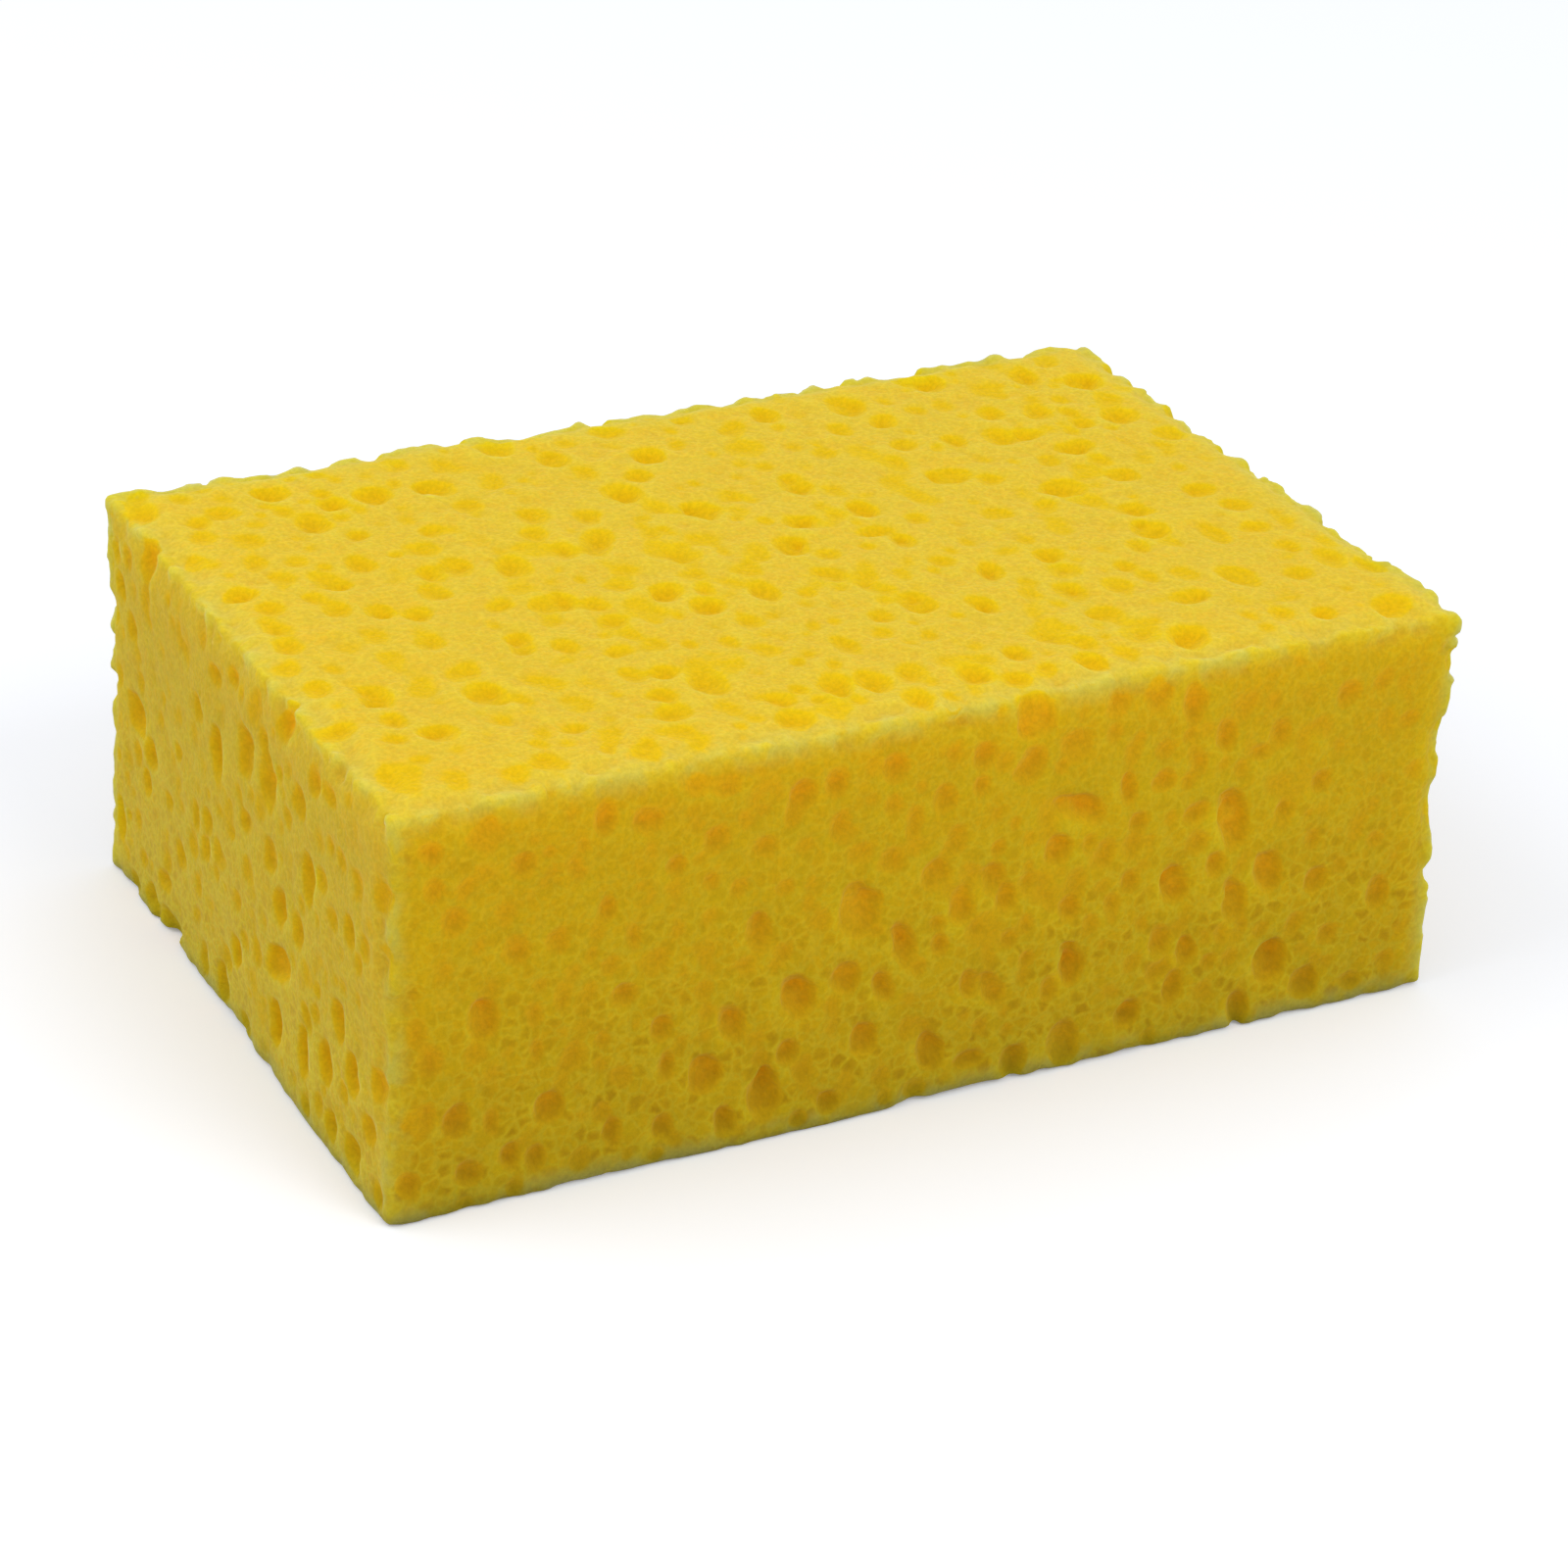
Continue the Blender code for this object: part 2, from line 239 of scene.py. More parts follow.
# The large pores that stand out in the photograph, as in the solid, and face by face as seen from
# outside: how far along and up the face a pore's middle lies, its width and height, and how many degrees
# it leans
FRONT_PORES = (
    (0.0672, 0.0325, 0.0062, 0.0098, 18),
    (0.0450, 0.0126, 0.0048, 0.0062, 8),
    (0.0540, 0.0072, 0.0052, 0.0084, 6),
    (0.1332, 0.0098, 0.0056, 0.0082, 12),
    (0.0489, 0.0196, 0.0043, 0.0062, 22),
    (0.0585, 0.0210, 0.0052, 0.0078, 22),
    (0.0520, 0.0323, 0.0040, 0.0066, 10),
    (0.0780, 0.0356, 0.0042, 0.0050, 20),
    (0.0966, 0.0354, 0.0038, 0.0047, 10),
    (0.1000, 0.0410, 0.0042, 0.0092, 62),
    (0.1243, 0.0345, 0.0050, 0.0104, 20),
    (0.1183, 0.0367, 0.0042, 0.0031, 20),
    (0.0738, 0.0263, 0.0038, 0.0066, 18),
    (0.0822, 0.0300, 0.0037, 0.0050, 12),
    (0.0889, 0.0300, 0.0031, 0.0040, 12),
    (0.1158, 0.0258, 0.0044, 0.0074, 22),
    (0.1310, 0.0250, 0.0050, 0.0078, 20),
    (0.0655, 0.0226, 0.0046, 0.0056, 20),
    (0.0710, 0.0204, 0.0030, 0.0050, 26),
    (0.0385, 0.0212, 0.0036, 0.0040, 10),
    (0.0133, 0.0285, 0.0044, 0.0062, 4),
    (0.0331, 0.0272, 0.0040, 0.0040, 10),
    (0.0095, 0.0138, 0.0042, 0.0052, 8),
    (0.0225, 0.0130, 0.0042, 0.0050, 8),
    (0.0396, 0.0150, 0.0030, 0.0050, 8),
    (0.0684, 0.0128, 0.0042, 0.0056, 20),
    (0.0573, 0.0132, 0.0032, 0.0040, 10),
    (0.0792, 0.0078, 0.0046, 0.0068, 22),
    (0.0923, 0.0034, 0.0046, 0.0056, 6),
    (0.1003, 0.0043, 0.0052, 0.0072, 6),
    (0.1103, 0.0066, 0.0047, 0.0058, 6),
    (0.1172, 0.0095, 0.0034, 0.0052, -14),
    (0.1286, 0.0035, 0.0038, 0.0056, 8),
    (0.1394, 0.0052, 0.0050, 0.0054, 8),
    (0.0115, 0.0058, 0.0040, 0.0040, 0),
    (0.0172, 0.0068, 0.0031, 0.0046, 6),
    (0.0210, 0.0058, 0.0030, 0.0045, 6),
    (0.0318, 0.0070, 0.0027, 0.0052, 14),
    (0.0390, 0.0060, 0.0032, 0.0042, 4),
    (0.0482, 0.0046, 0.0034, 0.0050, 14),
    (0.0638, 0.0040, 0.0033, 0.0040, 10),
    (0.0852, 0.0053, 0.0048, 0.0030, 0),
    (0.0917, 0.0570, 0.0066, 0.0078, 22),
    (0.1048, 0.0558, 0.0044, 0.0046, 10),
    (0.1108, 0.0556, 0.0050, 0.0060, 10),
    (0.1002, 0.0170, 0.0042, 0.0068, 14),
    (0.0842, 0.0178, 0.0032, 0.0048, 18),
    (0.1395, 0.0216, 0.0040, 0.0044, 10),
    (0.1308, 0.0462, 0.0038, 0.0048, 10),
    (0.0090, 0.0436, 0.0038, 0.0046, 10),
    (0.0186, 0.0494, 0.0038, 0.0042, 10),
    (0.0178, 0.0376, 0.0046, 0.0050, 10),
    (0.0066, 0.0486, 0.0036, 0.0040, 0),
    (0.0258, 0.0480, 0.0028, 0.0044, 10),
    (0.0356, 0.0520, 0.0044, 0.0050, 14),
    (0.0466, 0.0560, 0.0044, 0.0050, 0),
    (0.0130, 0.0554, 0.0056, 0.0060, 0),
    (0.0340, 0.0360, 0.0026, 0.0044, 10),
    (0.0666, 0.0410, 0.0040, 0.0036, 0),
    (0.0560, 0.0486, 0.0036, 0.0046, 0),
    (0.0784, 0.0468, 0.0036, 0.0042, 0),
    (0.1122, 0.0474, 0.0034, 0.0034, 0),
    (0.1222, 0.0278, 0.0032, 0.0042, 10),
    (0.1188, 0.0148, 0.0034, 0.0044, 10),
    (0.1592, 0.0518, 0.0036, 0.0044, 0),
    (0.1590, 0.0412, 0.0044, 0.0048, 0),
    (0.1594, 0.0348, 0.0036, 0.0044, 0),
    (0.1590, 0.0282, 0.0044, 0.0048, 0),
)
LEFT_END_PORES = (
    (0.0182, 0.0572, 0.0062, 0.0072, 0),
    (0.0697, 0.0571, 0.0058, 0.0078, 0),
    (0.0560, 0.0458, 0.0064, 0.0078, 0),
    (0.0640, 0.0452, 0.0056, 0.0080, 0),
    (0.0448, 0.0400, 0.0052, 0.0072, 0),
    (0.0380, 0.0434, 0.0040, 0.0050, 0),
    (0.0124, 0.0305, 0.0082, 0.0060, 0),
    (0.0778, 0.0376, 0.0044, 0.0080, 0),
    (0.0918, 0.0372, 0.0036, 0.0056, 0),
    (0.0643, 0.0342, 0.0044, 0.0052, 0),
    (0.0162, 0.0216, 0.0036, 0.0048, 0),
    (0.0677, 0.0280, 0.0048, 0.0060, 0),
    (0.0672, 0.0192, 0.0050, 0.0094, -60),
    (0.0884, 0.0222, 0.0050, 0.0058, 0),
    (0.0929, 0.0168, 0.0044, 0.0066, 0),
    (0.0840, 0.0134, 0.0042, 0.0066, 0),
    (0.0760, 0.0106, 0.0042, 0.0080, 0),
    (0.0657, 0.0088, 0.0048, 0.0076, 0),
    (0.0517, 0.0124, 0.0036, 0.0050, 0),
    (0.0446, 0.0042, 0.0050, 0.0062, 0),
    (0.0930, 0.0044, 0.0056, 0.0052, 0),
    (0.0008, 0.0300, 0.0036, 0.0050, 0),
)
TOP_PORES = (
    (0.0528, 0.0192, 0.0054, 0.0074, 0),
    (0.0250, 0.0272, 0.0056, 0.0068, 0),
    (0.0114, 0.0316, 0.0044, 0.0070, 0),
    (0.0577, 0.0638, 0.0048, 0.0086, -30),
    (0.0927, 0.0712, 0.0046, 0.0074, 0),
    (0.1146, 0.0660, 0.0066, 0.0056, 0),
    (0.1280, 0.0565, 0.0070, 0.0066, 0),
    (0.1146, 0.0522, 0.0050, 0.0044, 0),
    (0.1340, 0.0462, 0.0058, 0.0050, 0),
    (0.1325, 0.0395, 0.0058, 0.0060, 0),
    (0.0628, 0.0396, 0.0052, 0.0050, 0),
    (0.0428, 0.0486, 0.0044, 0.0050, 0),
    (0.1193, 0.0074, 0.0074, 0.0060, 30),
    (0.0678, 0.0122, 0.0046, 0.0066, -20),
    (0.0732, 0.0112, 0.0044, 0.0060, 0),
    (0.0900, 0.0302, 0.0048, 0.0068, 0),
    (0.0981, 0.0260, 0.0036, 0.0056, 10),
    (0.1043, 0.0352, 0.0038, 0.0064, -20),
    (0.0680, 0.0778, 0.0058, 0.0070, 0),
    (0.1486, 0.0424, 0.0052, 0.0050, 0),
    (0.1260, 0.0184, 0.0066, 0.0046, 0),
    (0.1446, 0.0195, 0.0048, 0.0050, 0),
    (0.1508, 0.0056, 0.0062, 0.0054, 0),
    (0.1530, 0.0674, 0.0058, 0.0054, 0),
    (0.1368, 0.0680, 0.0062, 0.0052, 0),
    (0.0084, 0.0612, 0.0040, 0.0044, 0),
    (0.0060, 0.0664, 0.0048, 0.0044, 0),
    (0.0260, 0.0528, 0.0048, 0.0056, 0),
    (0.0218, 0.0952, 0.0056, 0.0056, 0),
    (0.0350, 0.0898, 0.0060, 0.0056, 20),
    (0.0236, 0.0838, 0.0044, 0.0070, 0),
    (0.0330, 0.1042, 0.0034, 0.0040, 0),
    (0.0400, 0.1040, 0.0036, 0.0040, 0),
    (0.0530, 0.1042, 0.0036, 0.0036, 0),
    (0.0760, 0.1040, 0.0040, 0.0044, 0),
    (0.1150, 0.1042, 0.0044, 0.0040, 0),
    (0.1280, 0.1044, 0.0050, 0.0036, 0),
    (0.1470, 0.1042, 0.0040, 0.0040, 0),
    (0.1590, 0.0930, 0.0040, 0.0044, 0),
    (0.1592, 0.0870, 0.0036, 0.0040, 0),
    (0.1590, 0.0750, 0.0040, 0.0050, 0),
    (0.1592, 0.0600, 0.0044, 0.0046, 0),
)
# Fainter pores of the same faces, which the solid leaves out, in the same way
FRONT_FAINT = (
    (0.0146, 0.0126, 0.0022, 0.0044, 5),
    (0.0180, 0.0021, 0.0026, 0.0034, 0),
    (0.0110, 0.0014, 0.0035, 0.0022, 0),
    (0.0384, 0.0018, 0.0032, 0.0028, 0),
    (0.0592, 0.0023, 0.0026, 0.0030, 0),
    (0.0725, 0.0024, 0.0030, 0.0030, 0),
    (0.0770, 0.0024, 0.0046, 0.0040, 0),
    (0.1139, 0.0020, 0.0036, 0.0034, 0),
    (0.1473, 0.0035, 0.0042, 0.0036, 0),
    (0.0910, 0.0087, 0.0024, 0.0024, 0),
    (0.1227, 0.0123, 0.0025, 0.0027, 0),
    (0.0972, 0.0140, 0.0030, 0.0040, 10),
    (0.0880, 0.0160, 0.0030, 0.0060, 30),
    (0.0993, 0.0260, 0.0030, 0.0040, 10),
    (0.1085, 0.0280, 0.0030, 0.0040, 10),
    (0.1382, 0.0280, 0.0030, 0.0040, 10),
    (0.1432, 0.0230, 0.0030, 0.0034, 10),
    (0.1423, 0.0124, 0.0034, 0.0036, 0),
    (0.1260, 0.0215, 0.0040, 0.0080, 15),
    (0.1143, 0.0175, 0.0035, 0.0050, 15),
    (0.1070, 0.0425, 0.0026, 0.0050, 10),
    (0.1126, 0.0425, 0.0038, 0.0030, 0),
    (0.1280, 0.0440, 0.0040, 0.0024, 0),
    (0.1383, 0.0374, 0.0035, 0.0035, 0),
    (0.1090, 0.0370, 0.0030, 0.0030, 0),
    (0.0792, 0.0247, 0.0023, 0.0034, 15),
    (0.0303, 0.0102, 0.0030, 0.0034, 5),
    (0.0208, 0.0220, 0.0018, 0.0040, 10),
    (0.0300, 0.0216, 0.0020, 0.0030, 10),
    (0.0450, 0.0415, 0.0026, 0.0030, 0),
    (0.0302, 0.0410, 0.0024, 0.0040, 10),
    (0.1503, 0.0175, 0.0040, 0.0060, 10),
    (0.1162, 0.0536, 0.0044, 0.0054, 10),
    (0.1220, 0.0480, 0.0040, 0.0050, 10),
    (0.0424, 0.0565, 0.0040, 0.0040, 0),
    (0.0060, 0.0540, 0.0040, 0.0040, 0),
    (0.0840, 0.0520, 0.0035, 0.0040, 0),
    (0.0396, 0.0453, 0.0030, 0.0030, 0),
    (0.0525, 0.0450, 0.0040, 0.0040, 0),
    (0.0710, 0.0530, 0.0040, 0.0040, 0),
    (0.0575, 0.0515, 0.0040, 0.0050, 0),
    (0.0295, 0.0540, 0.0035, 0.0050, 10),
    (0.0040, 0.0280, 0.0030, 0.0050, 0),
    (0.0030, 0.0062, 0.0034, 0.0040, 0),
)
LEFT_END_FAINT = (
    (0.0075, 0.0482, 0.0040, 0.0044, 0),
    (0.0120, 0.0440, 0.0040, 0.0040, 0),
    (0.0052, 0.0533, 0.0050, 0.0040, 0),
    (0.0560, 0.0347, 0.0042, 0.0036, 0),
    (0.0250, 0.0230, 0.0040, 0.0030, 0),
    (0.0742, 0.0280, 0.0040, 0.0060, 0),
    (0.1012, 0.0196, 0.0050, 0.0060, 0),
    (0.1030, 0.0392, 0.0036, 0.0056, 0),
    (0.1022, 0.0472, 0.0046, 0.0056, 0),
    (0.0374, 0.0040, 0.0040, 0.0060, 0),
    (0.1015, 0.0038, 0.0030, 0.0046, 0),
    (0.0985, 0.0115, 0.0050, 0.0050, 0),
    (0.0245, 0.0026, 0.0090, 0.0046, 0),
    (0.0172, 0.0030, 0.0054, 0.0050, 0),
    (0.0096, 0.0020, 0.0050, 0.0034, 0),
    (0.0535, 0.0024, 0.0050, 0.0040, 0),
    (0.0046, 0.0105, 0.0040, 0.0070, 0),
    (0.0230, 0.0088, 0.0050, 0.0034, 0),
    (0.0808, 0.0535, 0.0035, 0.0050, 0),
    (0.0855, 0.0540, 0.0050, 0.0030, 0),
    (0.0520, 0.0545, 0.0040, 0.0030, 0),
    (0.0446, 0.0513, 0.0050, 0.0034, 0),
)
TOP_FAINT = (
    (0.0586, 0.0056, 0.0050, 0.0050, 0),
    (0.0402, 0.0360, 0.0034, 0.0040, 0),
    (0.0456, 0.0483, 0.0034, 0.0060, 0),
    (0.0354, 0.0405, 0.0040, 0.0040, 0),
    (0.0724, 0.0412, 0.0040, 0.0064, 0),
    (0.0030, 0.0250, 0.0060, 0.0050, 0),
    (0.0020, 0.0388, 0.0040, 0.0040, 0),
    (0.0092, 0.0196, 0.0034, 0.0030, 0),
    (0.0150, 0.0194, 0.0050, 0.0050, 0),
    (0.0112, 0.0247, 0.0036, 0.0044, 0),
    (0.0314, 0.0140, 0.0040, 0.0030, 0),
    (0.0492, 0.0240, 0.0044, 0.0040, 0),
    (0.0460, 0.0318, 0.0040, 0.0034, 0),
    (0.1406, 0.0070, 0.0045, 0.0040, 0),
    (0.1228, 0.0300, 0.0034, 0.0040, 0),
    (0.1405, 0.0350, 0.0040, 0.0060, 0),
    (0.1473, 0.0348, 0.0054, 0.0044, 0),
    (0.1555, 0.0180, 0.0050, 0.0060, 0),
    (0.1028, 0.0056, 0.0040, 0.0044, 0),
    (0.0914, 0.0050, 0.0040, 0.0040, 0),
    (0.0978, 0.0487, 0.0034, 0.0044, 0),
    (0.0825, 0.0532, 0.0050, 0.0064, 0),
    (0.0958, 0.0528, 0.0054, 0.0034, 0),
    (0.1462, 0.0484, 0.0054, 0.0044, 0),
    (0.1386, 0.0570, 0.0050, 0.0050, 0),
    (0.1492, 0.0760, 0.0054, 0.0060, 0),
    (0.1326, 0.0750, 0.0050, 0.0040, 0),
    (0.1315, 0.0840, 0.0040, 0.0050, 0),
    (0.1138, 0.0780, 0.0044, 0.0050, 0),
    (0.1150, 0.0868, 0.0040, 0.0044, 0),
    (0.1282, 0.0976, 0.0054, 0.0070, 0),
    (0.1432, 0.0940, 0.0044, 0.0060, 0),
    (0.1508, 0.0890, 0.0064, 0.0060, 0),
    (0.0998, 0.0956, 0.0044, 0.0060, 0),
    (0.1122, 0.0963, 0.0044, 0.0044, 0),
    (0.0976, 0.0600, 0.0050, 0.0060, 0),
    (0.0874, 0.0596, 0.0050, 0.0050, 0),
    (0.0638, 0.0924, 0.0044, 0.0060, 0),
    (0.0774, 0.0884, 0.0054, 0.0054, 0),
    (0.0730, 0.0822, 0.0040, 0.0044, 0),
    (0.0578, 0.0993, 0.0054, 0.0064, 0),
    (0.0442, 0.0890, 0.0064, 0.0060, 0),
    (0.0285, 0.0887, 0.0040, 0.0044, 0),
    (0.0040, 0.0790, 0.0034, 0.0050, 0),
    (0.0030, 0.0967, 0.0040, 0.0070, 0),
    (0.0090, 0.0895, 0.0034, 0.0040, 0),
    (0.0165, 0.0575, 0.0040, 0.0050, 0),
    (0.0218, 0.0553, 0.0044, 0.0054, 0),
    (0.0280, 0.0780, 0.0034, 0.0040, 0),
    (0.0326, 0.0630, 0.0040, 0.0050, 0),
)


class Face:
    """A cut face seen from outside: its lower left corner, its directions, its size and its pores."""

    def __init__(self, corner, along, up, size, rim, fine, fine_outside, landmarks=(), faint=()):
        self.corner = Vector(corner)
        self.along = Vector(along)
        self.up = Vector(up)
        self.out = self.along.cross(self.up)
        self.size = size
        self.rim = rim
        self.fine = fine
        self.fine_outside = fine_outside
        self.landmarks = landmarks
        self.faint = faint


def cut_faces(low, high):
    length, width, height = high - low
    side, end, flat = (length, height), (width, height), (length, width)
    return (
        Face((low.x, low.y, low.z), (1, 0, 0), (0, 0, 1), side, *SIDE_LOOK, FRONT_PORES, FRONT_FAINT),
        Face((low.x, high.y, low.z), (0, -1, 0), (0, 0, 1), end, *SIDE_LOOK, LEFT_END_PORES, LEFT_END_FAINT),
        Face((low.x, low.y, high.z), (1, 0, 0), (0, 1, 0), flat, *FLAT_LOOK, TOP_PORES, TOP_FAINT),
        Face((high.x, low.y, low.z), (0, 1, 0), (0, 0, 1), end, *SIDE_LOOK),
        Face((high.x, high.y, low.z), (-1, 0, 0), (0, 0, 1), side, *SIDE_LOOK),
        Face((low.x, high.y, low.z), (1, 0, 0), (0, -1, 0), flat, *FLAT_LOOK),
    )


class Pore:
    """An ellipsoid of air, by its middle and its three half axes."""

    def __init__(self, face, along, up, width, height, lean, outside=OUTSIDE_SHARE):
        self.radius = (width + height) / 4
        depth = DEPTH_SHARE * self.radius
        rim = math.sqrt(1 - outside**2)
        turn = Matrix.Rotation(math.radians(lean), 3, face.out)
        self.middle = face.corner + face.along * along + face.up * up
        self.middle += face.out * (outside * depth)
        self.half_axes = (
            turn @ face.along * width / 2 / rim,
            turn @ face.up * height / 2 / rim,
            face.out * depth,
        )
        self.rim = min(face.rim, RIM_SHARE * self.radius)
        self.made_of = (face, along, up, width, height, lean)

    def as_shown(self):
        """The same pore as shallow as it looks: in a large face, and in a side the more the higher up."""
        face, along, up = self.made_of[:3]
        in_large_face = face.fine is FLAT_FINE_PORES
        if not in_large_face and face.size[1] - up < BITE_WITHIN:
            return Pore(*self.made_of, UPPER_BITE_SHARE)
        if min(along, up, face.size[0] - along, face.size[1] - up) < BITE_WITHIN:
            return self
        if in_large_face:
            return Pore(*self.made_of, FLAT_SHARE)
        share = np.interp(up, SIDE_SHARE_HEIGHTS, SIDE_SHARES)
        if face.landmarks is FRONT_PORES:
            worn = np.interp(up, WORN_HEIGHTS, (0, 1)) * np.interp(along, WORN_ALONG, (1, 0))
            share += worn * (WORN_SHARE - share)
        return Pore(*self.made_of, share)

    def reach(self, way):
        """How far the pore goes from its middle in the direction of a unit vector."""
        return math.sqrt(sum(axis.dot(way) ** 2 for axis in self.half_axes))

    def clears(self, other):
        apart = other.middle - self.middle
        way = apart.normalized()
        return apart.length > self.reach(way) + other.reach(way) + WALL

    def cuts_cleanly(self, faces):
        """Whether it meets the block, and no face at a grazing angle."""
        for face in faces:
            beyond = (self.middle - face.corner).dot(face.out)
            reach = self.reach(face.out)
            if beyond > reach - NEAR_TANGENT:
                return False
            if abs(beyond + reach) < NEAR_TANGENT:
                return False
        return True

    def leaves_rest_patch(self, height):
        return math.hypot(self.middle.x, self.middle.y) > REST_PATCH or self.middle.z > height / 2


def random_pore(face, dice):
    width = dice.triangular(PORE_LEAST, PORE_MOST, PORE_LEAST)
    height = width * dice.uniform(1, STRETCH_MOST)
    margin = height / 2 + EDGE_CLEAR
    along = dice.uniform(margin, face.size[0] - margin)
    up = dice.uniform(margin, face.size[1] - margin)
    return Pore(face, along, up, width, height, dice.uniform(-LEAN_MOST, LEAN_MOST))


def large_pores(faces, height):
    """The same pores as the solid: those read from the photograph, then random ones."""
    kept = []

    def keep(pore):
        fits = pore.cuts_cleanly(faces) and pore.leaves_rest_patch(height)
        if fits and all(pore.clears(other) for other in kept):
            kept.append(pore)
            return True
        return False

    found = [sum(keep(Pore(face, *row)) for row in face.landmarks) for face in faces]
    for number, face in enumerate(faces):
        dice = random.Random(SEED + number)
        wanted = round(PORES_PER_AREA * face.size[0] * face.size[1]) - found[number]
        for _ in range(TRIES_A_PORE * wanted):
            if wanted <= 0:
                break
            wanted -= keep(random_pore(face, dice))
    return kept


def random_fine_pore(face, least, most, dice):
    width = dice.triangular(least, most, least)
    height = width * dice.uniform(*FINE_STRETCH)
    margin = height / 2 + EDGE_MARGIN
    along = dice.uniform(margin, face.size[0] - margin)
    up = dice.uniform(margin, face.size[1] - margin)
    lean = dice.uniform(-FINE_LEAN, FINE_LEAN)
    return Pore(face, along, up, width, height, lean, dice.uniform(*face.fine_outside))


def fine_pores(faces, large):
    """The faint pores, and small ones thrown over every face, in whole foam between the large ones."""
    dice = random.Random(SEED)
    made = [Pore(face, *row, FAINT_OUTSIDE) for face in faces for row in face.faint]
    middles = np.array([pore.middle for pore in large + made])
    radii = np.array([pore.radius for pore in large + made])
    for face in faces:
        for per_area, least, most in face.fine:
            for _ in range(round(per_area * face.size[0] * face.size[1])):
                pore = random_fine_pore(face, least, most, dice)
                apart = np.linalg.norm(middles - np.array(pore.middle), axis=1)
                if (apart > radii + pore.radius + FINE_WALL).all():
                    made.append(pore)
                    middles = np.vstack([middles, np.array(pore.middle)])
                    radii = np.append(radii, pore.radius)
    return made


# The corners of a grid cell, and of a square of the grid
CORNERS = [(i, j, k) for i in (0, 1) for j in (0, 1) for k in (0, 1)]
SQUARE = [(i, j) for i in (0, 1) for j in (0, 1)]


class FoamField:
    """Distances on a grid round the block: below zero in the foam, above zero in the air."""

    def __init__(self, low, high):
        margin = GRID_MARGIN * PITCH
        self.low = np.array(low) - margin
        self.counts = np.ceil((np.array(high) + margin - self.low) / PITCH).astype(int) + 1
        middle, half = (np.array(low) + np.array(high)) / 2, (np.array(high) - np.array(low)) / 2
        ways = [self.places(axis) for axis in range(3)]
        x, y, z = np.meshgrid(*ways, indexing="ij", sparse=True)
        lift = np.clip((z - low[2]) / ROUND_FULL_HEIGHT, 0, 1)
        rounding = ROUND_AT_FLOOR + lift * (EDGE_ROUND - ROUND_AT_FLOOR)
        sides = [
            np.abs(place - middle[axis]) - (half[axis] - rounding)
            for axis, place in enumerate((x, y, z))
        ]
        beyond = np.sqrt(sum(np.maximum(side, 0) ** 2 for side in sides))
        within = np.minimum(np.maximum(np.maximum(sides[0], sides[1]), sides[2]), 0)
        near = np.sort(np.stack(np.broadcast_arrays(*sides)), axis=0)[1]
        edge_nearness = np.clip(1 + (near + rounding) / FRAY_REACH, 0, 1).astype(np.float32)
        self.skin = (beyond + within - rounding).astype(np.float32)
        self.roughen(edge_nearness)
        np.maximum(self.skin, low[2] - z, out=self.skin)
        self.values = self.skin.copy()
        self.wobble = WOBBLE * self.noise(WOBBLE_SCALE, np.random.default_rng(SEED))

    def places(self, axis):
        return (self.low[axis] + PITCH * np.arange(self.counts[axis])).astype(np.float32)

    def noise(self, scale, dice):
        """Smooth random values of about one unit, that change over about one scale."""
        sizes = [int(math.ceil(count * PITCH / scale)) + 2 for count in self.counts]
        values = dice.standard_normal(sizes).astype(np.float32)
        for axis in range(3):
            at = np.arange(self.counts[axis]) * PITCH / scale
            cell = at.astype(int)
            share = at - cell
            share = (share * share * (3 - 2 * share)).astype(np.float32)
            shape = [1, 1, 1]
            shape[axis] = -1
            share = share.reshape(shape)
            first = np.take(values, cell, axis=axis)
            second = np.take(values, cell + 1, axis=axis)
            values = first + (second - first) * share
        return values

    def roughen(self, edge_nearness):
        """Makes the skin uneven, and frays it along the edges, but less so near the floor."""
        dice = np.random.default_rng(SEED)
        for scale, height in BUMPS:
            self.skin += height * self.noise(scale, dice)
        lift = np.clip(self.places(2) / FRAY_FULL_HEIGHT, FRAY_AT_FLOOR, 1)
        for scale, height in FRAY_BUMPS:
            self.skin += height * np.abs(self.noise(scale, dice)) * edge_nearness * lift

    def depth(self, points):
        """How far under the skin each point lies, blended between the grid's places."""
        at = (points - self.low) / PITCH
        cell = np.clip(np.floor(at).astype(int), 0, self.counts - 2)
        share = at - cell
        total = np.zeros(len(points))
        for corner in CORNERS:
            weight = np.where(corner, share, 1 - share).prod(axis=1)
            total -= weight * self.skin[tuple((cell + corner).T)]
        return np.maximum(total, 0)

    def carve(self, pore):
        """Takes the pore out of the foam, with its rim blended into the cut face."""
        middle = np.array(pore.middle)
        axes = np.array([list(axis) for axis in pore.half_axes])
        reach = np.sqrt((axes**2).sum(axis=0)) + 2 * pore.rim
        start = np.maximum(np.floor((middle - reach - self.low) / PITCH).astype(int), 0)
        stop = np.minimum(np.ceil((middle + reach - self.low) / PITCH).astype(int) + 1, self.counts)
        if (stop <= start).any():
            return
        ways = [self.low[k] + PITCH * np.arange(start[k], stop[k]) - middle[k] for k in range(3)]
        points = np.stack(np.meshgrid(*ways, indexing="ij"), axis=-1)
        sizes = np.linalg.norm(axes, axis=1)
        share = np.linalg.norm(points @ (axes / sizes[:, None] ** 2).T, axis=-1)
        box = tuple(slice(a, b) for a, b in zip(start, stop))
        air = ((1 - share + self.wobble[box]) * sizes.min()).astype(np.float32)
        part = self.values[box]
        share = np.clip(0.5 + 0.5 * (air - part) / pore.rim, 0, 1)
        part += (air - part) * share + pore.rim * share * (1 - share)

    def soften(self):
        """Evens out flakes and cracks that are thinner than the grid."""
        for axis in range(3):
            values = np.moveaxis(self.values, axis, 0)
            values[1:-1] = (values[:-2] + 2 * values[1:-1] + values[2:]) / 4

